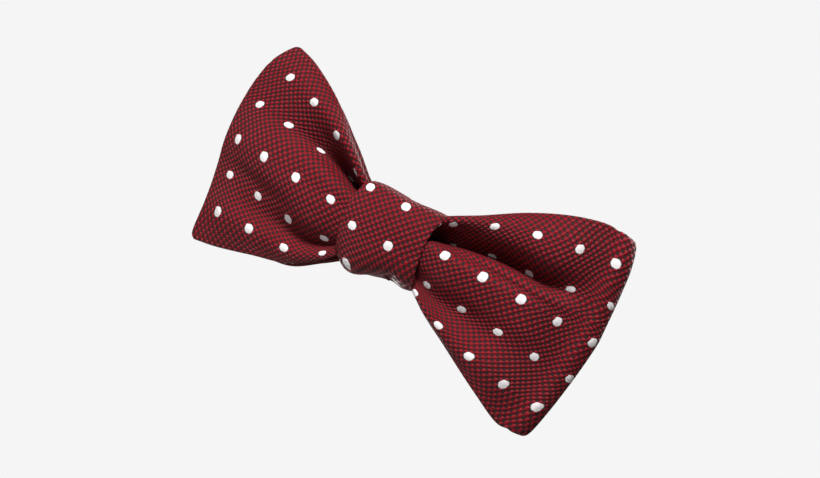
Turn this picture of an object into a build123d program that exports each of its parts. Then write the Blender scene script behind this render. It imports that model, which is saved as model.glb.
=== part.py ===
# Clip-on butterfly bow tie in spotted silk, millimetres.
#
# Worn upright: X runs to the viewer's right, the front faces -Y, +Z is up.
# The origin is the centre of the clip plate's rear face, where the collar lies.
#
# Two turned silk strips, each with an interlining, are laid in four layers and
# bound at the waist. Each strip ends in a blade on one side and a folded loop on
# the other. A lapped knot band goes round the waist and holds the clip plate,
# which carries two spring jaws.
from build123d import *

import os

os.makedirs("parts", exist_ok=True)

# ---- Cloth -----------------------------------------------------------------
silk_thickness = 0.45       # woven silk, one ply
lining_thickness = 1.3      # interlining of the two bow strips
band_lining_thickness = 0.7  # interlining of the knot band
lining_gap = 0.05           # all round an interlining, inside its silk
layer_gap = 0.1             # between two strips at the waist
touch_gap = 0.05            # between pieces that lie against each other
thread_diameter = 0.5       # binding and sewing thread

# ---- Bow -------------------------------------------------------------------
left_reach = 58.0           # from the centre to the left blade's outermost point
right_reach = 62.8          # from the centre to the right fold's outermost point
top_height = 33.5           # upper corners above the centre
bottom_depth = 29.3         # lower corners below the centre
corner_inset = 7.0          # corners stand this far inside the reach
corner_radius = 2.5
upper_edge_bulge = 3.4      # the flared edges are slightly round
lower_edge_bulge = 1.0
waist_half_width = 13.0     # where the gathered waist starts to flare
waist_half_height = 9.8     # gathered height at the knot
puff_x = 27.0               # where the layers stand proudest, from the centre
front_puff = 2.2            # front layer swells out there by this
inner_puff = 0.7            # inner layers swell by this
front_loop_depth = 7.0      # middle surface to middle surface, at the right fold
back_loop_depth = 5.6       # the same, at the left fold
fold_share = 0.4            # radius of a fold's corners over the loop's depth
gentle_bend = 20.0          # radii of the strips' bends in plan
waist_bend = 10.0
sweep_back = 5.0            # tips stand this far behind the waist layer
end_lap = 10.0              # inner ends of the strips pass the centre by this
back_bow_inset = 1.5        # the back bow is this much smaller all round
blade_set_back = 2.5        # the back blade is cut this much short of the front loop
back_loop_set_back = 2.5    # the back loop folds inside the front blade by this
binding_turns = 9
turn_overlap = 0.9          # turns bed into each other

# ---- Knot band -------------------------------------------------------------
band_half_width = 12.4
band_bulge = 2.4            # the front of the knot is rounded by this
band_lap = 9.0              # the band's ends overlap by this at the back
band_corner_radius = 2.6    # on the band's middle surface
stitch_count = 5
stitch_margin = 2.5         # first and last stitch, from the band's sides
stitch_slant = 0.5
stitch_reach = 1.0          # each way from the edge of the lap
stitch_bite = 0.35          # how deep a stitch enters the silk

# ---- Clip ------------------------------------------------------------------
plate_length = 63.0
plate_height = 9.0
plate_thickness = 0.8
sheet_thickness = 0.7       # jaws and ears
sewing_hole_diameter = 1.4
sewing_hole_spacing = 5.0
tack_depth = 1.2            # how deep the tacks enter the waist
pivot_x = 20.0              # from the centre to each jaw's pin
pin_diameter = 1.2
pin_running_gap = 0.05      # radial, in the jaw
pin_seat_gap = 0.02         # radial, in the plate's ears
rivet_head_diameter = 2.0
rivet_head_height = 0.4
ear_margin = 1.2            # metal round the ear's pin hole
flange_margin = 0.4         # metal round the jaw's pin hole
wire_diameter = 0.35
coil_pin_gap = 0.1          # radial, between a spring's coil and its pin
coil_turns = 4
spring_leg = 4.2
side_gap = 0.1              # between an ear and the jaw's side
jaw_tip_x = 31.0
jaw_tooth_count = 4
tooth_depth = 0.8
tab_bend = 2.4              # thumb tab starts to rise here, from the pin
tab_run = 5.8               # thumb tab ends here, from the pin
tab_rise = 2.2

# ---- Depths worked out from the sizes above --------------------------------
strip_thickness = lining_thickness + 2 * (lining_gap + silk_thickness)
band_thickness = band_lining_thickness + 2 * (lining_gap + silk_thickness)
layer_pitch = strip_thickness + layer_gap
thread_room = thread_diameter + 2 * touch_gap
stack_rear = -(plate_thickness + thread_room)
layer_y = [stack_rear - strip_thickness / 2 - i * layer_pitch for i in range(4)]
stack_front = layer_y[3] - strip_thickness / 2
band_inner_front = stack_front - thread_room
band_inner_rear = thread_room
band_inner_height = waist_half_height + thread_room
blade_reach = {-1: left_reach, 1: right_reach - blade_set_back}
clear_of_all = 80.0         # half size of a cutting prism, larger than the bow
run_out = 3.0               # a strip is drawn this much long, then trimmed to its outline

coil_radius = pin_diameter / 2 + coil_pin_gap + wire_diameter / 2
pivot_y = side_gap + wire_diameter / 2 + coil_radius
jaw_inner_y = pivot_y + coil_radius + wire_diameter / 2 + side_gap
jaw_mid_y = jaw_inner_y + sheet_thickness / 2
ear_inner_z = plate_height / 2 - sheet_thickness
jaw_half_height = ear_inner_z - side_gap


def wing_outline(blade_side, inset):
    """Front view of one strip, shrunk by inset: a blade end on the blade side,
    which is 1 or -1, and on the other side straight cuts that pass the fold."""
    reaches = {1: right_reach, -1: left_reach}
    reaches[blade_side] = blade_reach[blade_side]
    blade_corner = blade_side * (reaches[blade_side] - corner_inset)

    with BuildSketch(Plane.XZ.offset(-clear_of_all)) as outline:
        with BuildLine():
            for side, reach in reaches.items():
                waist_x = side * waist_half_width
                corner_x = side * (reach - corner_inset)
                middle_x = (waist_x + corner_x) / 2
                upper_z = (waist_half_height + top_height) / 2 + upper_edge_bulge
                lower_z = (waist_half_height + bottom_depth) / 2 + lower_edge_bulge
                upper = (corner_x, top_height)
                lower = (corner_x, -bottom_depth)
                ThreePointArc((waist_x, waist_half_height), (middle_x, upper_z), upper)
                ThreePointArc(lower, (middle_x, -lower_z), (waist_x, -waist_half_height))
                if side == blade_side:
                    Polyline(upper, (side * reach, 0), lower)
                else:
                    past_fold = side * (reach + corner_inset)
                    Polyline(
                        upper, (past_fold, top_height), (past_fold, -bottom_depth), lower
                    )
            for height in (waist_half_height, -waist_half_height):
                Line((-waist_half_width, height), (waist_half_width, height))
        make_face()
        if inset > 0:
            offset(amount=-inset, kind=Kind.INTERSECTION)
        vertices = outline.vertices()
        blade_corners = vertices.sort_by(lambda vertex: abs(vertex.X - blade_corner))[:2]
        fillet(blade_corners, radius=corner_radius)
    return outline.sketch


def front_bow_line():
    """Plan of the front strip: left blade, waist, right loop, inner end."""
    outer, inner = layer_y[3], layer_y[2]
    fold_x = right_reach - strip_thickness / 2
    fold_y = outer + 0.15 * sweep_back
    with BuildLine() as line:
        FilletPolyline(
            (-blade_reach[-1] - run_out, outer + sweep_back),
            (-puff_x, outer - front_puff),
            (-waist_half_width, outer),
            (waist_half_width, outer),
            (puff_x, outer - front_puff),
            (fold_x, fold_y),
            (fold_x, fold_y + front_loop_depth),
            (puff_x, inner + inner_puff),
            (waist_half_width, inner),
            (-end_lap, inner),
            radius=[
                gentle_bend, waist_bend, waist_bend, gentle_bend,
                fold_share * front_loop_depth, fold_share * front_loop_depth,
                gentle_bend, waist_bend,
            ],
        )
    return line.line


def back_bow_line():
    """Plan of the back strip: right blade, waist, left loop, inner end."""
    outer, inner = layer_y[0], layer_y[1]
    fold_x = left_reach - back_loop_set_back - strip_thickness / 2
    flat_end = plate_length / 2
    fold_y = outer + 1.25 * sweep_back
    with BuildLine() as line:
        FilletPolyline(
            (blade_reach[1] + run_out, outer + 1.3 * sweep_back),
            (flat_end, outer),
            (-flat_end, outer),
            (-fold_x, fold_y),
            (-fold_x, fold_y - back_loop_depth),
            (-puff_x, inner - inner_puff),
            (-waist_half_width, inner),
            (end_lap, inner),
            radius=[
                gentle_bend, gentle_bend,
                fold_share * back_loop_depth, fold_share * back_loop_depth,
                gentle_bend, waist_bend,
            ],
        )
    return line.line


def strip_solid(plan, width, blade_side, inset):
    """An upright ribbon along the plan line, trimmed to its strip's outline."""
    with BuildPart() as strip:
        with BuildSketch(Plane.XY.offset(-clear_of_all)):
            trace(plan, line_width=width)
        extrude(amount=2 * clear_of_all)
        depth = 2 * clear_of_all
        outline = wing_outline(blade_side, inset)
        extrude(outline, amount=depth, dir=(0, -1, 0), mode=Mode.INTERSECT)
    return strip.part


# ---- The two bow strips ----------------------------------------------------
cavity_width = lining_thickness + 2 * lining_gap
lining_inset = silk_thickness + lining_gap

with BuildPart() as front_bow_silk:
    plan = front_bow_line()
    add(strip_solid(plan, strip_thickness, -1, 0))
    add(strip_solid(plan, cavity_width, -1, silk_thickness), mode=Mode.SUBTRACT)

with BuildPart() as front_bow_interlining:
    add(strip_solid(front_bow_line(), lining_thickness, -1, lining_inset))

with BuildPart() as back_bow_silk:
    plan = back_bow_line()
    add(strip_solid(plan, strip_thickness, 1, back_bow_inset))
    cavity_inset = back_bow_inset + silk_thickness
    add(strip_solid(plan, cavity_width, 1, cavity_inset), mode=Mode.SUBTRACT)

with BuildPart() as back_bow_interlining:
    back_lining_inset = back_bow_inset + lining_inset
    add(strip_solid(back_bow_line(), lining_thickness, 1, back_lining_inset))

# ---- Knot band -------------------------------------------------------------
band_half_height = band_inner_height + band_thickness / 2
band_front_y = band_inner_front - band_thickness / 2
under_lap_y = band_inner_rear + band_thickness / 2
over_lap_y = under_lap_y + band_thickness + layer_gap
brow_height = 0.4 * band_half_height


def knot_band_solid(width, half_length):
    """The band round the waist, seen from its side, with its ends lapped behind."""
    with BuildPart() as band:
        with BuildSketch(Plane.YZ):
            with BuildLine():
                FilletPolyline(
                    (under_lap_y, band_lap / 2),
                    (under_lap_y, -band_half_height),
                    (band_front_y, -band_half_height),
                    (band_front_y - band_bulge, -brow_height),
                    (band_front_y - band_bulge, brow_height),
                    (band_front_y, band_half_height),
                    (over_lap_y, band_half_height),
                    (over_lap_y, -band_lap / 2),
                    radius=band_corner_radius,
                )
            trace(line_width=width)
        extrude(amount=half_length, both=True)
    return band.part


with BuildPart() as knot_band_silk:
    add(knot_band_solid(band_thickness, band_half_width))
    band_cavity = band_lining_thickness + 2 * lining_gap
    add(knot_band_solid(band_cavity, band_half_width - silk_thickness), mode=Mode.SUBTRACT)

with BuildPart() as knot_band_interlining:
    add(knot_band_solid(band_lining_thickness, band_half_width - lining_inset))

# Slanted whip stitches close the band over the edge of its lap.
with BuildPart() as knot_band_stitches:
    lap_edge = -band_lap / 2
    under_face = under_lap_y + band_thickness / 2
    over_face = over_lap_y + band_thickness / 2
    stitch_pitch = 2 * (band_half_width - stitch_margin) / (stitch_count - 1)
    for i in range(stitch_count):
        start_x = -band_half_width + stitch_margin + i * stitch_pitch
        with BuildLine() as stitch:
            ThreePointArc(
                (start_x - stitch_slant, under_face - stitch_bite, lap_edge - stitch_reach),
                (start_x, over_face + thread_diameter / 2, lap_edge),
                (start_x + stitch_slant, over_face - stitch_bite, lap_edge + stitch_reach),
            )
        with BuildSketch(Plane(stitch.line @ 0, z_dir=stitch.line % 0)):
            Circle(thread_diameter / 2)
        sweep(path=stitch.line)

# ---- Waist binding: close turns of thread round the four layers -------------
with BuildPart() as waist_binding_thread:
    turn_half_height = waist_half_height + thread_room / 2
    turn_rear = stack_rear + thread_room / 2
    turn_front = stack_front - thread_room / 2
    with BuildLine(Plane.YZ) as turn:
        FilletPolyline(
            (turn_rear, turn_half_height),
            (turn_front, turn_half_height),
            (turn_front, -turn_half_height),
            (turn_rear, -turn_half_height),
            radius=thread_diameter,
            close=True,
        )
    with BuildSketch(Plane(turn.line @ 0, x_dir=(1, 0, 0), z_dir=turn.line % 0)):
        with GridLocations(thread_diameter * turn_overlap, 0, binding_turns, 1):
            Circle(thread_diameter / 2)
    sweep(path=turn.line)

# ---- Clip plate ------------------------------------------------------------
pin_radius = pin_diameter / 2
ear_radius = pin_radius + ear_margin

with BuildPart() as clip_plate:
    with BuildSketch(Plane.XZ):
        SlotOverall(plate_length, plate_height)
        with GridLocations(sewing_hole_spacing, sewing_hole_spacing, 2, 2):
            Circle(sewing_hole_diameter / 2, mode=Mode.SUBTRACT)
    extrude(amount=plate_thickness)
    for ear_z in (ear_inner_z, -plate_height / 2):
        with BuildSketch(Plane.XY.offset(ear_z)):
            with Locations((-pivot_x, 0), (pivot_x, 0)):
                with Locations((0, (pivot_y - plate_thickness) / 2)):
                    Rectangle(2 * ear_radius, pivot_y + plate_thickness)
                with Locations((0, pivot_y)):
                    Circle(ear_radius)
                    Circle(pin_radius + pin_seat_gap, mode=Mode.SUBTRACT)
        extrude(amount=sheet_thickness)

# Thread tacks hold the plate to the waist through its four sewing holes.
with BuildPart() as plate_tack_stitches:
    for side in (-1, 1):
        tack_x = side * sewing_hole_spacing / 2
        tack_z = sewing_hole_spacing / 2
        with BuildLine(Plane.YZ.offset(tack_x)) as tack:
            FilletPolyline(
                (stack_rear - tack_depth, -tack_z),
                (thread_room / 2, -tack_z),
                (thread_room / 2, tack_z),
                (stack_rear - tack_depth, tack_z),
                radius=thread_diameter,
            )
        with BuildSketch(Plane(tack.line @ 0, z_dir=tack.line % 0)):
            Circle(thread_diameter / 2)
        sweep(path=tack.line)

# ---- Spring jaws -----------------------------------------------------------
with BuildPart() as clip_jaw_right:
    lip_x = jaw_tip_x - sheet_thickness / 2
    with BuildSketch(Plane.XY.offset(-jaw_half_height)):
        with BuildLine():
            FilletPolyline(
                (lip_x, touch_gap),
                (lip_x, jaw_mid_y),
                (pivot_x - tab_bend, jaw_mid_y),
                (pivot_x - tab_run, jaw_mid_y + tab_rise),
                radius=sheet_thickness,
            )
        trace(line_width=sheet_thickness)
    extrude(amount=2 * jaw_half_height)
    flange_radius = pin_radius + pin_running_gap + flange_margin
    for flange_z in (jaw_half_height - sheet_thickness, -jaw_half_height):
        with BuildSketch(Plane.XY.offset(flange_z)):
            with Locations((pivot_x, (pivot_y + jaw_mid_y) / 2)):
                Rectangle(2 * flange_radius, jaw_mid_y - pivot_y)
            with Locations((pivot_x, pivot_y)):
                Circle(flange_radius)
                Circle(pin_radius + pin_running_gap, mode=Mode.SUBTRACT)
        extrude(amount=sheet_thickness)
    tooth_pitch = 2 * jaw_half_height / jaw_tooth_count
    with BuildSketch(Plane.YZ.offset(lip_x - sheet_thickness)):
        with GridLocations(0, tooth_pitch, 1, jaw_tooth_count - 1):
            with BuildLine():
                Polyline(
                    (touch_gap - tooth_depth, -tooth_pitch / 2),
                    (touch_gap + tooth_depth, 0),
                    (touch_gap - tooth_depth, tooth_pitch / 2),
                    close=True,
                )
            make_face()
    extrude(amount=2 * sheet_thickness, mode=Mode.SUBTRACT)

with BuildPart() as clip_jaw_left:
    mirror(clip_jaw_right.part, about=Plane.YZ)

# ---- Hinge pins, riveted over at both ends ----------------------------------
with BuildPart() as jaw_pin_right:
    with BuildSketch(Plane((pivot_x, pivot_y, -plate_height / 2 - touch_gap))):
        Circle(pin_radius)
    extrude(amount=plate_height + 2 * touch_gap)
    for head_z in (plate_height / 2 + touch_gap, -plate_height / 2 - touch_gap - rivet_head_height):
        with BuildSketch(Plane((pivot_x, pivot_y, head_z))):
            Circle(rivet_head_diameter / 2)
        extrude(amount=rivet_head_height)

with BuildPart() as jaw_pin_left:
    mirror(jaw_pin_right.part, about=Plane.YZ)

# ---- Torsion springs --------------------------------------------------------
# The coil starts under the pin and ends over it, so both legs point inwards:
# one lies on the plate and the other lies under the thumb tab.
with BuildPart() as jaw_spring_right:
    coil_rise = wire_diameter * 1.15
    coil_height = coil_rise * (coil_turns + 0.5)
    coil_plane = Plane(
        (pivot_x, pivot_y, -coil_height / 2), x_dir=(0, -1, 0), z_dir=(0, 0, 1)
    )
    with BuildLine(coil_plane) as coil:
        Helix(pitch=coil_rise, height=coil_height, radius=coil_radius)
    with BuildSketch(Plane(coil.line @ 0, z_dir=coil.line % 0)):
        Circle(wire_diameter / 2)
    sweep(path=coil.line, is_frenet=True)
    for leg_y, leg_z in ((-coil_radius, -coil_height / 2), (coil_radius, coil_height / 2)):
        leg_start = Plane((pivot_x, pivot_y + leg_y, leg_z), z_dir=(-1, 0, 0))
        with BuildSketch(leg_start.offset(-wire_diameter / 4)):
            Circle(wire_diameter / 2)
        extrude(amount=spring_leg)

with BuildPart() as jaw_spring_left:
    mirror(jaw_spring_right.part, about=Plane.YZ)

# ---- Write each piece --------------------------------------------------------
pieces = {
    "front_bow_silk": front_bow_silk,
    "front_bow_interlining": front_bow_interlining,
    "back_bow_silk": back_bow_silk,
    "back_bow_interlining": back_bow_interlining,
    "knot_band_silk": knot_band_silk,
    "knot_band_interlining": knot_band_interlining,
    "knot_band_stitches": knot_band_stitches,
    "waist_binding_thread": waist_binding_thread,
    "clip_plate": clip_plate,
    "plate_tack_stitches": plate_tack_stitches,
    "clip_jaw_right": clip_jaw_right,
    "clip_jaw_left": clip_jaw_left,
    "jaw_pin_right": jaw_pin_right,
    "jaw_pin_left": jaw_pin_left,
    "jaw_spring_right": jaw_spring_right,
    "jaw_spring_left": jaw_spring_left,
}
for name, piece in pieces.items():
    piece.part.label = name
    export_step(piece.part, f"parts/{name}.step")
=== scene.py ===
import math

import bmesh
import bpy
import numpy as np
from mathutils import Matrix, Vector


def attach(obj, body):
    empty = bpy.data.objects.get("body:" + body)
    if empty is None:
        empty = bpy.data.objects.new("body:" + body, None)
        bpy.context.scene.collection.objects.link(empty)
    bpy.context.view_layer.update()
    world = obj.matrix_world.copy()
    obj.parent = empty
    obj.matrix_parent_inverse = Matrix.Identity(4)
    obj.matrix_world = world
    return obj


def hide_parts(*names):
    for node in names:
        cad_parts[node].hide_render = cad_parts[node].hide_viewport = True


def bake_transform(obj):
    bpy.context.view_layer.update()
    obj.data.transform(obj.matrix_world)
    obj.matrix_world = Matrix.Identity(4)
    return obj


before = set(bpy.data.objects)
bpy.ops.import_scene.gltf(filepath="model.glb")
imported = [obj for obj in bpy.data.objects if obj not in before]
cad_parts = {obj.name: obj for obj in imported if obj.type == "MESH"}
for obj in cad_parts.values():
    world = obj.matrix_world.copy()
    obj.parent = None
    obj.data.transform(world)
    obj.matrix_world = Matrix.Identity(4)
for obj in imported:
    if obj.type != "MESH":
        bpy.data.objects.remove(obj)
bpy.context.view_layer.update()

MM = 0.001
WELD = 1e-7                 # points closer than this, in metres, are one

# A sheet's bake map holds one face in its lower half and the other in its upper half.
BAKE_MARGIN = 0.01
BAKE_WIDTH = 0.98
BAKE_HALF_HEIGHT = 0.47

# ---- Cloth sizes, in millimetres ---------------------------------------------
STRIP_THICKNESS = 1.7       # a bow strip pressed flat: two plies and interlining
BACK_STRIP_THICKNESS = 1.5
LINING_SHARE = 0.6          # interlining's share of its strip's thickness
LINING_MARGIN = 0.035       # how far inside the silk's edges it stops, as a share
BAND_THICKNESS = 1.6
SPOT_PITCH = 11.5           # woven spots, on a square lattice in the cloth
SPOT_RADIUS = 1.24
SPOT_SQUARENESS = 2.4       # 2 is a round spot, more is squarer
SPOT_EDGE = 0.12            # softness of a spot's edge, each way
WEAVE_CELL = SPOT_PITCH / 12
WING_START = 13.0           # from the centre to where the wings leave the knot
GATHER_ROWS = [-23, -11.5, 0, 11.5, 23]
GATHERED_LEFT = [22.8, 20.5, 17.7, 16.6, 18.7]   # cloth from the middle to the wing's start
GATHERED_RIGHT = [20.4, 19.0, 18.4, 19.6, 21.3]

# ---- Cages of the wings, in millimetres ----------------------------------------
# Each line follows one fold from the knot outwards, from the bottom edge to the
# top edge. It gives the fold's place across the cloth, then its points (x, y, z)
# beside the knot, in three steps outwards, and at the wing's end.
LEFT_WING = [
    (-31.0, [(-12.6, -9.4, -15.4), (-20, -8.8, -20.7), (-31, -8.0, -24.3),
             (-42, -6.4, -27.7), (-51.6, -3.4, -29.8)]),
    (-23.0, [(-13.0, -10.2, -14.0), (-20, -10.4, -17.4), (-31.5, -10.8, -18.0),
             (-43, -9.2, -18.5), (-52.6, -4.6, -18.6)]),
    (-16.0, [(-13.0, -8.0, -10.8), (-20, -8.0, -12.9), (-32, -8.5, -12.9),
             (-44, -8.2, -12.4), (-53.9, -4.6, -12.0)]),
    (-9.0, [(-13.0, -11.2, -7.6), (-20, -12.9, -8.2), (-32, -10.9, -7.6),
             (-44, -8.7, -6.2), (-55.4, -4.7, -5.7)]),
    (-4.0, [(-13.0, -12.6, -3.4), (-20, -14.3, -3.8), (-32, -13.7, -3.2),
             (-44.5, -10.7, -2.4), (-56.3, -5.2, -1.7)]),
    (0.0, [(-13.2, -12.6, 0.2), (-20, -14.0, 0.4), (-32, -13.9, 0.8),
             (-45, -11.6, 1.6), (-56.9, -5.7, 2.4)]),
    (5.5, [(-13.2, -11.6, 3.8), (-20, -12.9, 5.2), (-32, -12.9, 6.8),
             (-45, -11.1, 7.6), (-57.7, -5.5, 8.2)]),
    (11.5, [(-13.2, -3.8, 5.6), (-20, -5.6, 8.2), (-32, -9.0, 11.0),
             (-45, -9.8, 12.8), (-58.0, -5.2, 14.0)]),
    (17.0, [(-13.2, -3.8, 7.0), (-20, -6.4, 10.8), (-32, -10.4, 15.2),
             (-45, -9.9, 18.2), (-57.7, -5.2, 19.6)]),
    (24.0, [(-13.0, -10.4, 9.0), (-20, -12.4, 14.0), (-31.5, -13.2, 20.4),
             (-44, -10.6, 24.6), (-56.2, -5.3, 26.6)]),
    (31.0, [(-12.8, -9.6, 10.0), (-20, -10.4, 15.9), (-31, -10.4, 24.9),
             (-42, -9.4, 31.0), (-51.6, -5.6, 34.0)]),
]
RIGHT_WING = [
    (-31.0, [(12.8, -6.8, -8.2), (20, -10.0, -13.2), (30.5, -10.4, -18.9),
             (42, -10.0, -24.8), (51.4, -6.2, -29.1)]),
    (-23.0, [(13.0, -8.7, -8.8), (20, -11.9, -12.4), (31, -12.7, -16.0),
             (43, -12.0, -18.0), (53.4, -6.6, -19.4)]),
    (-14.0, [(13.0, -8.2, -6.2), (20, -9.4, -8.5), (31, -9.9, -9.1),
             (43.5, -10.8, -9.9), (54.5, -6.5, -11.2)]),
    (-6.0, [(13.0, -11.8, -2.2), (20, -13.1, -2.8), (31, -13.1, -3.2),
             (44, -12.5, -3.5), (55.2, -6.5, -4.2)]),
    (0.0, [(13.2, -13.0, 2.2), (20, -14.4, 2.2), (31, -14.2, 2.3),
             (44, -12.9, 2.4), (55.6, -6.5, 2.2)]),
    (3.0, [(13.2, -11.2, 3.6), (20, -11.4, 4.1), (31, -11.9, 4.8),
             (44, -12.2, 4.8), (55.5, -6.5, 5.0)]),
    (5.5, [(13.2, -7.4, 4.2), (20, -9.4, 5.5), (31, -11.0, 6.9),
             (44, -11.7, 6.9), (55.3, -6.5, 7.2)]),
    (10.0, [(13.2, -3.0, 5.2), (20, -4.2, 7.0), (31, -4.8, 9.2),
             (44, -6.8, 9.5), (54.9, -6.5, 12.0)]),
    (17.5, [(13.2, -6.4, 8.6), (20, -9.2, 11.0), (31, -12.1, 14.4),
             (43.5, -12.6, 15.6), (54.3, -6.6, 17.9)]),
    (24.0, [(13.0, -11.8, 11.2), (20, -12.8, 14.5), (31, -13.4, 18.8),
             (43, -12.9, 21.6), (53.4, -6.7, 24.4)]),
    (31.0, [(12.8, -10.6, 12.0), (20, -10.6, 16.5), (30.5, -10.4, 23.5),
             (42, -10.0, 29.1), (51.0, -6.2, 31.8)]),
]
FOLD_OUT = 6.8              # the right loop's fold stands this far past the last step
CORNER = 1.7                # how far a strip's corners are rounded
LOOP_GAP = 7.2              # front layer to back layer of the right loop, at its end
WAIST_SHARE = 0.72          # cloth height under the knot over its height beside it


def curve_through(points, at, wanted):
    """Smooth curve through points, given at the values at, read at the wanted values."""
    points = np.asarray(points, float)
    at = np.asarray(at, float)
    step = np.diff(at)
    shape = (-1,) + (1,) * (points.ndim - 1)
    slope = np.diff(points, axis=0) / step.reshape(shape)
    tangent = np.empty_like(points)
    weight = (step[1:] / (step[:-1] + step[1:])).reshape(shape)
    tangent[1:-1] = slope[:-1] * weight + slope[1:] * (1 - weight)
    tangent[0], tangent[-1] = slope[0], slope[-1]
    k = np.clip(np.searchsorted(at, wanted, side="right") - 1, 0, len(step) - 1)
    h = step[k].reshape(shape)
    t = ((wanted - at[k]) / step[k]).reshape(shape)
    a, b, ta, tb = points[k], points[k + 1], tangent[k], tangent[k + 1]
    return (
        a * (2 * t**3 - 3 * t**2 + 1)
        + b * (3 * t**2 - 2 * t**3)
        + ta * h * (t**3 - 2 * t**2 + t)
        + tb * h * (t**3 - t**2)
    )


STATION_STEPS = 10          # grid lines between two stations of a bow strip
ROW_STEPS = 8               # grid lines between two rows of a cage
RIM_STEPS = np.array([0.0, 0.12, 0.4])


def sample_steps(intervals, per_interval):
    """Even steps over the intervals, with three close steps at each rim."""
    even = np.arange(1, intervals * per_interval) / per_interval
    rim = RIM_STEPS / per_interval
    return np.concatenate([rim, even, intervals - rim[::-1]])


def smooth_surface(cage, per_station=STATION_STEPS):
    """A fine grid of points through a cage of stations by rows."""
    stations, rows = cage.shape[:2]
    middle = cage[:, rows // 2]
    chord = np.sqrt(np.linalg.norm(np.diff(middle, axis=0), axis=1))
    at = np.concatenate([[0], np.cumsum(chord)])
    steps = sample_steps(stations - 1, per_station)
    wanted = np.interp(steps, np.arange(stations), at)
    along = curve_through(cage, at, wanted)
    across_steps = sample_steps(rows - 1, ROW_STEPS)
    across = curve_through(along.transpose(1, 0, 2), np.arange(rows), across_steps)
    return across.transpose(1, 0, 2)


def rim_distance(surface, axis):
    """How far each point lies from the nearer of the sheet's two ends along the axis."""
    steps = np.linalg.norm(np.diff(surface, axis=axis), axis=2)
    pad = [(0, 0), (0, 0)]
    pad[axis] = (1, 0)
    run = np.cumsum(np.pad(steps, pad), axis=axis)
    return np.minimum(run, run.take([-1], axis=axis) - run)


def thick_sheet(name, surface, cloth, thickness):
    """A closed sheet of cloth with round edges about a middle surface, in metres,
    with its place in the cloth, in millimetres, as a UV map."""
    count_u, count_v = surface.shape[:2]
    along = np.gradient(surface, axis=0)
    across = np.gradient(surface, axis=1)
    normal = np.cross(along, across)
    normal /= np.linalg.norm(normal, axis=2, keepdims=True) + 1e-12
    radius = thickness / 2
    nearest = np.minimum(rim_distance(surface, 0), rim_distance(surface, 1))
    inside = np.clip(nearest / radius, 0, 1)
    half = radius * np.sqrt(1 - (1 - inside) ** 2)
    bm = bmesh.new()
    cloth_map = bm.loops.layers.uv.new("cloth")
    bake_map = bm.loops.layers.uv.new("OFBake")
    low, high = cloth.min((0, 1)), cloth.max((0, 1))
    for side in (1, -1):
        made = bmesh.ops.create_grid(bm, x_segments=count_u - 1, y_segments=count_v - 1, size=1)
        placed = surface + normal * half[..., None] * side
        index = {}
        for vert in made["verts"]:
            i = round((vert.co.x + 1) / 2 * (count_u - 1))
            j = round((vert.co.y + 1) / 2 * (count_v - 1))
            index[vert] = (i, j)
            vert.co = placed[i, j] * MM
        faces = {face for vert in made["verts"] for face in vert.link_faces}
        for face in faces:
            face.smooth = True
            for loop in face.loops:
                place = cloth[index[loop.vert]]
                share_u, share_v = (place - low) / (high - low)
                half_start = BAKE_MARGIN + (0.5 if side > 0 else 0.0)
                loop[cloth_map].uv = place
                loop[bake_map].uv = (
                    BAKE_MARGIN + BAKE_WIDTH * share_u,
                    half_start + BAKE_HALF_HEIGHT * share_v,
                )
        if side < 0:
            bmesh.ops.reverse_faces(bm, faces=list(faces))
    bmesh.ops.remove_doubles(bm, verts=bm.verts, dist=WELD)
    bmesh.ops.recalc_face_normals(bm, faces=bm.faces)
    return finish_mesh(bm, name)


def finish_mesh(bm, name):
    """Makes the bmesh an object of the scene, with its place in its mesh."""
    mesh = bpy.data.meshes.new(name)
    bm.to_mesh(mesh)
    bm.free()
    piece = bpy.data.objects.new(name, mesh)
    bpy.context.scene.collection.objects.link(piece)
    return piece


def with_edge_rows(rows):
    """Adds a row close inside each edge, where a corner starts to turn."""
    rows = np.asarray(rows, float)
    reach = CORNER / (SPOT_PITCH * 0.7)
    low = rows[0] + (rows[1] - rows[0]) * reach
    high = rows[-1] + (rows[-2] - rows[-1]) * reach
    return np.concatenate([rows[:1], [low], rows[1:-1], [high], rows[-1:]])


def wing_stations(wing):
    """The wing's cage turned to stations: one array of rows for each step outwards."""
    return [with_edge_rows([line[1][k] for line in wing]) for k in range(5)]


def round_corners(end, inner):
    """Draws the two corners of a strip's end back towards the station inside it."""
    for edge in (0, -1):
        back = inner[edge] - end[edge]
        end[edge] += back / np.linalg.norm(back) * CORNER


LEFT = wing_stations(LEFT_WING)
RIGHT = wing_stations(RIGHT_WING)
ROWS_LEFT = with_edge_rows([line[0] for line in LEFT_WING])
ROWS_RIGHT = with_edge_rows([line[0] for line in RIGHT_WING])


def behind(station, push, nest, shrink=1.0, reach=1.0):
    """A station of the layer behind: pushed back, its folds flattened, and smaller."""
    made = station.copy()
    middle = made[:, 1].mean()
    made[:, 1] = middle + push + nest * (made[:, 1] - middle)
    made[:, 0] *= reach
    made[:, 2] *= shrink
    return made


def under_knot(station, x, depth, flatten):
    """A station under the knot: gathered in height, at the given depth."""
    made = station.copy()
    made[:, 0] = x
    made[:, 1] = depth + flatten * (made[:, 1] - made[:, 1].mean())
    made[:, 2] = made[:, 2] * WAIST_SHARE
    return made


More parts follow.
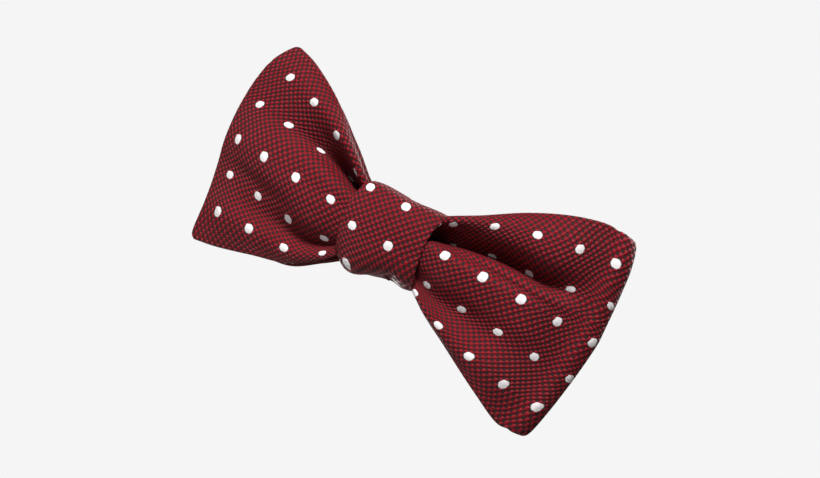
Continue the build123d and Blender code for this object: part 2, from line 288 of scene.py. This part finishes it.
# Layers behind a wing's front layer. Each line gives the step outwards that it follows,
# how far behind it lies, how much of its folds it keeps, its height's share, and, at a
# free end, its reach's share.
LOOP_REAR = [
    (3, 7.2, 0.6, 0.985), (2, 5.4, 0.55, 0.98), (1, 5.0, 0.5, 0.97), (0, 4.9, 0.45, 0.97),
]
BACK_BLADE = [
    (4, 10.0, 0.1, 0.95, 1.02), (3, 11.6, 0.1, 0.95), (2, 9.5, 0.25, 0.96),
    (1, 8.9, 0.25, 0.96), (0, 8.3, 0.25, 0.96),
]
BACK_LOOP_REAR = [
    (0, 8.1, 0.25, 0.96), (1, 8.3, 0.25, 0.98), (2, 8.8, 0.15, 0.96), (3, 9.6, 0.15, 0.95),
]
BACK_LOOP_END = (6.0, 0.3, 0.95, 0.93)
BACK_LOOP_FRONT = [
    (3, 4.2, 0.5, 0.96), (2, 4.0, 0.4, 0.97), (1, 4.5, 0.5, 1.03), (0, 4.9, 0.45, 1.04),
]
# Middle surfaces of the four layers under the knot, from the front.
WAIST_FRONT, WAIST_LOOP_REAR, WAIST_BACK_LOOP, WAIST_BACK_BLADE = -10.0, -7.4, -5.0, -2.7
FOLD_TURNS = (35, 90, 145, 180)     # degrees round the right loop's fold
FOLD_ROUNDNESS = 0.8                # below 1 makes the fold squarer
FOLD_NARROWING = 0.04               # share of its height that it loses at its middle
BACK_FOLD_TURNS = (35, 90, 145)     # the same for the back bow's left loop
BACK_FOLD_OUT = 2.2
BACK_FOLD_HALF_GAP = 2.4
BACK_FOLD_START = 1.2


def layers(wing, table):
    """The stations of a layer behind a wing, by its table."""
    return [behind(wing[step], *measures) for step, *measures in table]


def front_bow_cage():
    """The front strip from the left blade's end, over the knot's place, round the
    right loop's fold, and back to its inner end."""
    blade_end = LEFT[4].copy()
    round_corners(blade_end, LEFT[3])
    cage = [blade_end, *reversed(LEFT[:4])]
    cage.append(under_knot(LEFT[0], -8.0, WAIST_FRONT, 0.3))
    cage.append(under_knot(RIGHT[0], 8.0, WAIST_FRONT, 0.3))
    cage += RIGHT
    end = RIGHT[4]
    for turn in FOLD_TURNS:
        rolled = end.copy()
        angle = math.radians(turn)
        out = math.sin(angle) ** FOLD_ROUNDNESS if turn < 180 else 0.0
        rolled[:, 0] = end[:, 0] + FOLD_OUT * out
        rolled[:, 1] = end[:, 1] + LOOP_GAP / 2 * (1 - math.cos(angle))
        turn_in = math.sin(angle)
        for edge in (0, -1):
            rolled[edge, 0] -= CORNER * turn_in
            rolled[edge, 2] *= 1 - FOLD_NARROWING * turn_in
        cage.append(rolled)
    cage += layers(RIGHT, LOOP_REAR)
    cage.append(under_knot(RIGHT[0], 5.0, WAIST_LOOP_REAR, 0.3))
    cage.append(under_knot(RIGHT[0], -6.0, WAIST_LOOP_REAR, 0.2))
    return np.array(cage)


def lengths_along(surface):
    """Length of cloth along each row of the surface, from its start."""
    steps = np.linalg.norm(np.diff(surface, axis=0), axis=2)
    return np.concatenate([np.zeros((1, surface.shape[1])), np.cumsum(steps, axis=0)])


def bow_cloth(surface, forward=True):
    """Each point's place in the flat cloth: along the strip and across it.

    Between the wings the cloth is gathered, so that it measures there what
    the rows of spots beside the knot need.
    """
    ahead = surface if forward else surface[::-1]
    middle_x = ahead[:, ahead.shape[1] // 2, 0]
    left_end, right_end = (
        np.flatnonzero((middle_x[:-1] <= x) & (middle_x[1:] > x))[0] + 1
        for x in (-WING_START, WING_START)
    )
    rows = sample_steps(len(ROWS_LEFT) - 1, ROW_STEPS)
    across_left = np.interp(rows, np.arange(len(ROWS_LEFT)), ROWS_LEFT)
    across_right = np.interp(rows, np.arange(len(ROWS_RIGHT)), ROWS_RIGHT)
    taken_left = np.interp(across_left, GATHER_ROWS, GATHERED_LEFT)
    taken_right = np.interp(across_right, GATHER_ROWS, GATHERED_RIGHT)
    run = lengths_along(ahead)
    before = run - run[left_end] - taken_left
    past = run - run[right_end] + taken_right
    span = (run - run[left_end]) / (run[right_end] - run[left_end])
    between = -taken_left + span * (taken_left + taken_right)
    along = np.where(span < 0, before, np.where(span > 1, past, between))
    mix = np.clip(span, 0, 1)
    across = across_left * (1 - mix) + across_right * mix
    cloth = np.stack([along, across], axis=2)
    return cloth if forward else cloth[::-1]


# ---- Front bow and back bow ------------------------------------------------------
front_surface = smooth_surface(front_bow_cage())
front_cloth = bow_cloth(front_surface)
front_bow = thick_sheet("front_bow", front_surface, front_cloth, STRIP_THICKNESS)


def back_bow_cage():
    """The back strip from the right blade's end, behind the waist, round the left
    loop's fold, and back to its inner end."""
    cage = layers(RIGHT, BACK_BLADE)
    cage.append(under_knot(RIGHT[0], 6.0, WAIST_BACK_BLADE, 0.1))
    cage.append(under_knot(LEFT[0], -6.0, WAIST_BACK_BLADE, 0.1))
    cage += layers(LEFT, BACK_LOOP_REAR)
    end = behind(LEFT[4], *BACK_LOOP_END)
    for turn in BACK_FOLD_TURNS:
        rolled = end.copy()
        angle = math.radians(turn)
        rolled[:, 0] -= BACK_FOLD_OUT * math.sin(angle)
        rolled[:, 1] -= BACK_FOLD_HALF_GAP * (1 - math.cos(angle)) - BACK_FOLD_START
        cage.append(rolled)
    cage += layers(LEFT, BACK_LOOP_FRONT)
    cage.append(under_knot(LEFT[0], -5.0, WAIST_BACK_LOOP, 0.2))
    cage.append(under_knot(LEFT[0], 6.0, WAIST_BACK_LOOP, 0.2))
    return np.array(cage)


back_surface = smooth_surface(back_bow_cage())
back_cloth = bow_cloth(back_surface, forward=False)
back_bow = thick_sheet("back_bow", back_surface, back_cloth, BACK_STRIP_THICKNESS)

# ---- Knot band --------------------------------------------------------------------
# The band's ring, seen from its side, from the inner end behind the waist, under
# it, up the front and over to the lapped end. Heights are shares of the band's own.
BAND_RING = [
    (1.5, 0.4), (1.5, -0.2), (1.4, -0.82), (-0.4, -1.0), (-4.0, -1.0), (-8.5, -1.0),
    (-12.4, -0.93), (-14.3, -0.62), (-14.9, -0.2), (-15.0, 0.2), (-14.2, 0.6),
    (-12.2, 0.9), (-8.5, 1.0), (-4.0, 1.0), (1.2, 1.0), (3.1, 0.84), (3.3, 0.2), (3.3, -0.4),
]
BAND_REAR_HEIGHT = 11.25    # half height of the band behind, where it is straight
BAND_REAR_WIDTH = 12.2      # half width there
BAND_STEPS = 9              # grid lines between two points of the ring
# Across the band from left to right: share of its width, top, bottom, in front.
BAND_SIDES = [
    (-1.0, 9.7, -10.4), (-0.75, 10.5, -13.1), (-0.45, 10.6, -13.7), (-0.05, 10.5, -12.1),
    (0.25, 10.7, -9.9), (0.45, 11.1, -8.7), (0.75, 11.6, -9.2), (1.0, 11.7, -8.0),
]
# The band's sides in front, from bottom to top: height, left, right.
BAND_EDGES = [
    (-13.0, -9.0, 13.6), (-9.0, -10.6, 13.9), (-5.0, -12.0, 12.5), (0.0, -12.7, 11.7),
    (5.0, -12.8, 11.0), (9.0, -12.4, 11.6), (13.0, -11.8, 13.4),
]
BAND_FRONT = -3.0           # in front of this depth the band takes its front shape
BAND_BLEND = 5.0            # over this much depth
BAND_TURN = 0.7             # shares of the height past this are where it turns over
BAND_SWEEP = 1.6            # the front's sides lie this far behind its middle
BAND_COLUMNS = 9            # cage columns across the band
BAND_SLANT = 0.13           # the spots' columns lean across the band
BAND_SPOT = (2.6, -3.0)     # where a spot lies on the band's front
BAND_SHEAR = 0.02           # the cloth is pulled askew below that spot
SHEAR_REACH = 14.0          # as far down as this
BAND_DROOP = 0.34           # and it droops this much for each step to the right
DROOP_MIDDLE = 1.5          # of this place, up to a limit each way
DROOP_LIMIT = 7.0


def knot_band_surface():
    """The band's middle surface, once round the waist and lapped behind."""
    shares = np.array([side[0] for side in BAND_SIDES])
    wide = np.linspace(-1, 1, BAND_COLUMNS)
    top = curve_through([side[1] for side in BAND_SIDES], shares, wide)
    bottom = curve_through([side[2] for side in BAND_SIDES], shares, wide)
    heights, lefts, rights = np.array(BAND_EDGES).T
    cage = np.zeros((len(BAND_RING), len(wide), 3))
    for i, (y, share) in enumerate(BAND_RING):
        in_front = np.clip((BAND_FRONT - y) / BAND_BLEND, 0, 1)
        reach = np.where(share > 0, top, -bottom)
        turning = abs(share) > BAND_TURN
        rear_reach = (reach + BAND_REAR_HEIGHT) / 2 if turning else BAND_REAR_HEIGHT
        z = share * (in_front * reach + (1 - in_front) * rear_reach)
        left = -np.interp(z, heights, lefts)
        right = np.interp(z, heights, rights)
        front_x = np.where(wide < 0, wide * left, wide * right)
        x = in_front * front_x + (1 - in_front) * BAND_REAR_WIDTH * wide
        cage[i] = np.stack([x, y + in_front * BAND_SWEEP * wide**2, z], axis=1)
    return smooth_surface(cage, BAND_STEPS)


def band_cloth_places(surface):
    """Each point's place in the band's cloth, from the middle of its front."""
    along = lengths_along(surface)
    steps = np.linalg.norm(np.diff(surface, axis=1), axis=2)
    across = np.concatenate([np.zeros((len(surface), 1)), np.cumsum(steps, axis=1)], axis=1)
    across -= across[:, [surface.shape[1] // 2]]
    middle = surface[:, surface.shape[1] // 2]
    front_middle = np.argmin(np.where(middle[:, 1] > -5, np.inf, np.abs(middle[:, 2])))
    along = along - along[front_middle]
    askew = BAND_SHEAR * np.clip(BAND_SPOT[1] - along, 0, SHEAR_REACH) ** 2
    spot_across = across + BAND_SLANT * along - askew - BAND_SPOT[0]
    below = np.clip((BAND_SPOT[1] - along) / SPOT_PITCH, 0, 1)
    droop = BAND_DROOP * below * np.clip(across - DROOP_MIDDLE, -DROOP_LIMIT, DROOP_LIMIT)
    return np.stack([spot_across, along - BAND_SPOT[1] + droop], axis=2)


band_surface = knot_band_surface()
band_cloth = band_cloth_places(band_surface)
knot_band = thick_sheet("knot_band", band_surface, band_cloth, BAND_THICKNESS)

# ---- Interlinings, inside the silk ---------------------------------------------------


def lining(name, surface, cloth, thickness):
    """An interlining on the same middle surface as its silk, short of its edges."""
    end_lines = max(3, round(surface.shape[0] * LINING_MARGIN / 3))
    side_lines = max(4, round(surface.shape[1] * LINING_MARGIN))
    inner = (slice(end_lines, -end_lines), slice(side_lines, -side_lines))
    return thick_sheet(name, surface[inner], cloth[inner], thickness * LINING_SHARE)


front_lining = lining("front_bow_lining", front_surface, front_cloth, STRIP_THICKNESS)
back_lining = lining("back_bow_lining", back_surface, back_cloth, BACK_STRIP_THICKNESS)
band_lining = lining("knot_band_lining", band_surface, band_cloth, BAND_THICKNESS)

# ---- Finishes -----------------------------------------------------------------------


class Nodes:
    """Short names for building a material's nodes."""

    def __init__(self, name):
        self.material = bpy.data.materials.new(name)
        self.material.use_nodes = True
        self.tree = self.material.node_tree
        self.shader = self.tree.nodes["Principled BSDF"]

    def put(self, value, socket):
        if isinstance(value, bpy.types.NodeSocket):
            self.tree.links.new(value, socket)
        else:
            socket.default_value = value

    def math(self, operation, a, b=0.0):
        node = self.tree.nodes.new("ShaderNodeMath")
        node.operation = operation
        for value, socket in zip((a, b), node.inputs):
            self.put(value, socket)
        return node.outputs[0]

    def ramp(self, value, low, high, to_low=0.0, to_high=1.0):
        node = self.tree.nodes.new("ShaderNodeMapRange")
        node.interpolation_type = "SMOOTHSTEP"
        for name, given in zip(("Value", "From Min", "From Max", "To Min", "To Max"),
                               (value, low, high, to_low, to_high)):
            self.put(given, node.inputs[name])
        return node.outputs["Result"]

    def mix(self, share, a, b):
        node = self.tree.nodes.new("ShaderNodeMix")
        node.data_type = "RGBA"
        self.put(share, node.inputs["Factor"])
        self.put(a, node.inputs["A"])
        self.put(b, node.inputs["B"])
        return node.outputs["Result"]

    def noise(self, vector, scale, detail=2.0):
        node = self.tree.nodes.new("ShaderNodeTexNoise")
        self.put(vector, node.inputs["Vector"])
        node.inputs["Scale"].default_value = scale
        node.inputs["Detail"].default_value = detail
        return node.outputs["Fac"]

    def place(self, scale=(1, 1, 1)):
        """The point's place on the object, in metres, stretched by scale."""
        node = self.tree.nodes.new("ShaderNodeTexCoord")
        mapping = self.tree.nodes.new("ShaderNodeMapping")
        mapping.inputs["Scale"].default_value = scale
        self.tree.links.new(node.outputs["Object"], mapping.inputs["Vector"])
        return mapping.outputs["Vector"]

    def cloth(self):
        """The point's place in the flat cloth, in millimetres: along and across."""
        node = self.tree.nodes.new("ShaderNodeUVMap")
        node.uv_map = "cloth"
        parts = self.tree.nodes.new("ShaderNodeSeparateXYZ")
        self.tree.links.new(node.outputs["UV"], parts.inputs["Vector"])
        return node.outputs["UV"], parts.outputs["X"], parts.outputs["Y"]

    def bump(self, height, distance, strength=1.0):
        node = self.tree.nodes.new("ShaderNodeBump")
        node.inputs["Distance"].default_value = distance
        node.inputs["Strength"].default_value = strength
        self.tree.links.new(height, node.inputs["Height"])
        self.tree.links.new(node.outputs["Normal"], self.shader.inputs["Normal"])

    def set(self, **values):
        for name, value in values.items():
            self.put(value, self.shader.inputs[name.replace("_", " ")])
        return self.material


def wave(n, value, period):
    """A sine along the value, one turn in each period."""
    return n.math("SINE", n.math("MULTIPLY", value, 2 * math.pi / period))


def spotted_silk():
    """Crimson floats over a near-black ground in a checked weave, with white spots, and painted
    highlights along the strands.
    """
    n = Nodes("spotted_silk")
    place, along, across = n.cloth()
    checks = n.math("MULTIPLY", wave(n, along, 2 * WEAVE_CELL), wave(n, across, 2 * WEAVE_CELL))
    floats = n.ramp(checks, -0.34, 0.3)
    slanted = n.math("ADD", n.math("MULTIPLY", along, 0.94), n.math("MULTIPLY", across, 0.34))
    # Fine slanted strands: their wave raises the threads in the bump, and also paints a highlight
    # along each strand into the floats' and spots' colour.
    strands_and_highlights = wave(n, slanted, WEAVE_CELL / 4)
    tone = n.noise(place, 0.12)
    slubs = n.noise(place, 1.1, 3.0)

    near = []
    for value in (along, across):
        step = n.math("ADD", n.math("DIVIDE", value, SPOT_PITCH), 0.5)
        off = n.math("SUBTRACT", n.math("FRACT", step), 0.5)
        off_mm = n.math("ABSOLUTE", n.math("MULTIPLY", off, SPOT_PITCH))
        near.append(n.math("POWER", off_mm, SPOT_SQUARENESS))
    distance = n.math("POWER", n.math("ADD", near[0], near[1]), 1 / SPOT_SQUARENESS)
    ragged = n.math("ADD", distance, n.math("MULTIPLY", checks, 0.09))
    spot = n.ramp(ragged, SPOT_RADIUS + SPOT_EDGE, SPOT_RADIUS - SPOT_EDGE)

    black = n.mix(slubs, (0.012, 0.008, 0.008, 1), (0.034, 0.022, 0.02, 1))
    sunk = n.mix(n.ramp(checks, -0.75, -0.3), black, (0.04, 0.0018, 0.0034, 1))
    # Painted highlight: the floats are lighter along each strand.
    low_red = n.mix(strands_and_highlights, (0.14, 0.003, 0.007, 1), (0.23, 0.006, 0.013, 1))
    red = n.mix(tone, low_red, (0.27, 0.009, 0.018, 1))
    ground = n.mix(floats, sunk, red)
    # Painted highlight: the spots are lighter along each strand.
    white = n.mix(strands_and_highlights, (0.74, 0.7, 0.7, 1), (0.88, 0.86, 0.86, 1))
    colour = n.mix(spot, ground, white)

    threads = n.math("MULTIPLY", strands_and_highlights, 0.1)
    domed = n.ramp(checks, -0.5, 1.0)
    raised = n.math("ADD", domed, threads)
    sewn = n.math("ADD", n.math("MULTIPLY", n.ramp(ragged, SPOT_RADIUS + 0.2, 0.0), 0.5), threads)
    height = n.math("ADD", n.math("MULTIPLY", raised, n.math("SUBTRACT", 1.0, spot)),
                    n.math("MULTIPLY", spot, n.math("ADD", 0.8, sewn)))
    n.bump(height, 0.00032)
    rough = n.ramp(floats, 0, 1, 0.75, 0.42)
    n.set(Base_Color=colour, Roughness=rough)
    n.set(Specular_IOR_Level=0.2, Sheen_Weight=0.02, Sheen_Roughness=0.4)
    n.set(Sheen_Tint=(1.0, 0.55, 0.58, 1))
    return n.material


def interlining_canvas():
    """Brushed off-white canvas in a plain weave."""
    n = Nodes("interlining_canvas")
    place, along, across = n.cloth()
    checks = n.math("MULTIPLY", wave(n, along, 1.1), wave(n, across, 1.1))
    fuzz = n.noise(place, 2.2, 4.0)
    woven = n.mix(n.ramp(checks, -0.6, 0.6), (0.62, 0.57, 0.48, 1), (0.8, 0.77, 0.7, 1))
    colour = n.mix(n.math("MULTIPLY", fuzz, 0.5), woven, (0.84, 0.81, 0.75, 1))
    n.bump(n.math("ADD", checks, fuzz), 0.00012)
    return n.set(Base_Color=colour, Roughness=0.92, Sheen_Weight=0.2)


def sewing_thread():
    """Dark red polyester thread, twisted from fine strands."""
    n = Nodes("sewing_thread")
    parts = n.tree.nodes.new("ShaderNodeSeparateXYZ")
    n.tree.links.new(n.place(), parts.inputs["Vector"])
    x, y, z = parts.outputs
    slant = n.math("ADD", n.math("MULTIPLY", x, 1.3), n.math("ADD", n.math("MULTIPLY", y, 0.8), z))
    twist = wave(n, slant, 0.00042)
    fibres = n.noise(n.place(), 6000.0, 2.0)
    strand = n.mix(n.ramp(twist, -0.7, 0.7), (0.05, 0.004, 0.007, 1), (0.26, 0.022, 0.035, 1))
    colour = n.mix(n.math("MULTIPLY", fibres, 0.35), strand, (0.36, 0.05, 0.065, 1))
    n.bump(twist, 0.00006)
    return n.set(Base_Color=colour, Roughness=0.55, Sheen_Weight=0.25)


def plated_metal(name, colour, dull, roughness, brush):
    """Plated metal with a drawn or brushed grain and faint handling marks."""
    n = Nodes(name)
    grain = n.noise(n.place(brush), 2400.0, 3.0)
    marks = n.noise(n.place(), 350.0, 4.0)
    worn = n.ramp(marks, 0.5, 0.8, 0.0, 0.5)
    n.bump(grain, 0.000001, 0.3)
    return n.set(
        Base_Color=n.mix(worn, colour, dull),
        Roughness=n.ramp(n.math("ADD", grain, worn), 0.3, 1.2, roughness, roughness + 0.14),
        Metallic=1.0,
    )


FINISHES = {
    "spotted_silk": spotted_silk(),
    "interlining": interlining_canvas(),
    "thread": sewing_thread(),
    "clip_metal": plated_metal(
        "nickel_plate", (0.68, 0.67, 0.64, 1), (0.5, 0.49, 0.47, 1), 0.4, brush=(0.15, 1, 1)),
    "pin_metal": plated_metal(
        "bright_pin", (0.86, 0.86, 0.85, 1), (0.66, 0.66, 0.65, 1), 0.14, brush=(1, 1, 0.2)),
    "spring_steel": plated_metal(
        "spring_wire", (0.6, 0.61, 0.63, 1), (0.36, 0.37, 0.39, 1), 0.26, brush=(1, 1, 1)),
}
NODE_FINISH = {
    "knot_band_stitches": "thread",
    "waist_binding_thread": "thread",
    "plate_tack_stitches": "thread",
    "clip_plate": "clip_metal",
    "clip_jaw_right": "clip_metal",
    "clip_jaw_left": "clip_metal",
    "jaw_pin_right": "pin_metal",
    "jaw_pin_left": "pin_metal",
    "jaw_spring_right": "spring_steel",
    "jaw_spring_left": "spring_steel",
}
for node_name, finish in NODE_FINISH.items():
    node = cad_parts[node_name]
    for material_slot in node.material_slots:
        material_slot.material = FINISHES[finish]


def spring(side):
    """The jaw's spring, from the plate to the jaw: its part's mesh copied, with its points welded
    and its faces shaded smooth.
    """
    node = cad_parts[f"jaw_spring_{side}"]
    bm = bmesh.new()
    bm.from_mesh(node.data)
    bmesh.ops.remove_doubles(bm, verts=bm.verts, dist=WELD)
    for face in bm.faces:
        face.smooth = True
    piece = finish_mesh(bm, f"wound_spring_{side}")
    piece.data.materials.append(FINISHES["spring_steel"])
    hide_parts(node.name)
    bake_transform(piece)


for side in ("right", "left"):
    spring(side)

# ---- Which piece stands for which, and what carries it ----------------------------------
SOFT_PIECES = [
    (front_bow, "front_bow_silk", "spotted_silk"),
    (back_bow, "back_bow_silk", "spotted_silk"),
    (knot_band, "knot_band_silk", "spotted_silk"),
    (front_lining, "front_bow_interlining", "interlining"),
    (back_lining, "back_bow_interlining", "interlining"),
    (band_lining, "knot_band_interlining", "interlining"),
]
for piece, node_name, slot_name in SOFT_PIECES:
    piece.data.materials.append(FINISHES[slot_name])
    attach(piece, "root")
    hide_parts(node_name)

# ---- Floor, light and camera ---------------------------------------------------------------
AIM = Vector((0, -0.015, 0))
CAMERA_DISTANCE = 0.3
CAMERA_SIDE = math.radians(13)
BOW_TILT = math.radians(30.2)     # the bow lies this far down to the right
FLOOR_RADIUS = 0.45
FLOOR_HEIGHT = -0.35


def pale_floor():
    """A round pale floor, well below the bow."""
    bm = bmesh.new()
    bmesh.ops.create_circle(bm, cap_ends=True, segments=96, radius=FLOOR_RADIUS)
    bmesh.ops.translate(bm, verts=bm.verts, vec=(0, 0, FLOOR_HEIGHT))
    floor = finish_mesh(bm, "floor")
    n = Nodes("pale_floor")
    grain = n.noise(n.place(), 40.0, 3.0)
    pale = n.mix(grain, (0.6, 0.6, 0.6, 1), (0.66, 0.66, 0.66, 1))
    floor.data.materials.append(n.set(Base_Color=pale, Roughness=0.9))


def soft_light(name, place, size, watts):
    """A round lamp turned to the bow."""
    lamp = bpy.data.lights.new(name, "AREA")
    lamp.shape = "DISK"
    lamp.size = size
    lamp.energy = watts
    light = bpy.data.objects.new(name, lamp)
    light.location = place
    light.rotation_euler = (AIM - Vector(place)).to_track_quat("-Z", "Y").to_euler()
    bpy.context.scene.collection.objects.link(light)


def white_room():
    """A plain room that looks pale, but lights the folds only faintly."""
    world = bpy.data.worlds.new("room")
    bpy.context.scene.world = world
    world.use_nodes = True
    tree = world.node_tree
    seen = tree.nodes["Background"]
    seen.inputs["Color"].default_value = (0.913, 0.913, 0.913, 1)
    glow = tree.nodes.new("ShaderNodeBackground")
    glow.inputs["Color"].default_value = (1, 1, 1, 1)
    glow.inputs["Strength"].default_value = 0.02
    path = tree.nodes.new("ShaderNodeLightPath")
    mix = tree.nodes.new("ShaderNodeMixShader")
    tree.links.new(path.outputs["Is Camera Ray"], mix.inputs[0])
    tree.links.new(glow.outputs[0], mix.inputs[1])
    tree.links.new(seen.outputs[0], mix.inputs[2])
    tree.links.new(mix.outputs[0], tree.nodes["World Output"].inputs["Surface"])


def tilted_camera():
    """A camera to the bow's right, rolled so that the bow lies tilted in its view."""
    data = bpy.data.cameras.new("camera")
    data.lens = 49.0
    data.sensor_width = 36.0
    data.shift_x = 0.0316
    data.shift_y = -0.0089
    data.clip_start = 0.01
    camera = bpy.data.objects.new("camera", data)
    bpy.context.scene.collection.objects.link(camera)
    back = Vector((math.sin(CAMERA_SIDE), -math.cos(CAMERA_SIDE), 0))
    level = Vector((math.cos(CAMERA_SIDE), math.sin(CAMERA_SIDE), 0))
    up = Vector((0, 0, 1))
    right = level * math.cos(BOW_TILT) + up * math.sin(BOW_TILT)
    camera_up = up * math.cos(BOW_TILT) - level * math.sin(BOW_TILT)
    turn = Matrix((right, camera_up, back)).transposed().to_4x4()
    camera.matrix_world = Matrix.Translation(AIM + back * CAMERA_DISTANCE) @ turn
    bpy.context.scene.camera = camera


pale_floor()
white_room()
soft_light("key", (-0.1, -0.5, 0.52), 0.24, 9.5)
soft_light("front_fill", (-0.2, -0.7, -0.1), 0.3, 0.7)
soft_light("rear_high", (0.25, 0.6, 0.4), 0.6, 6.0)
soft_light("rear_low", (-0.35, 0.55, -0.1), 0.6, 3.0)
tilted_camera()
bpy.context.scene.view_settings.view_transform = "Standard"
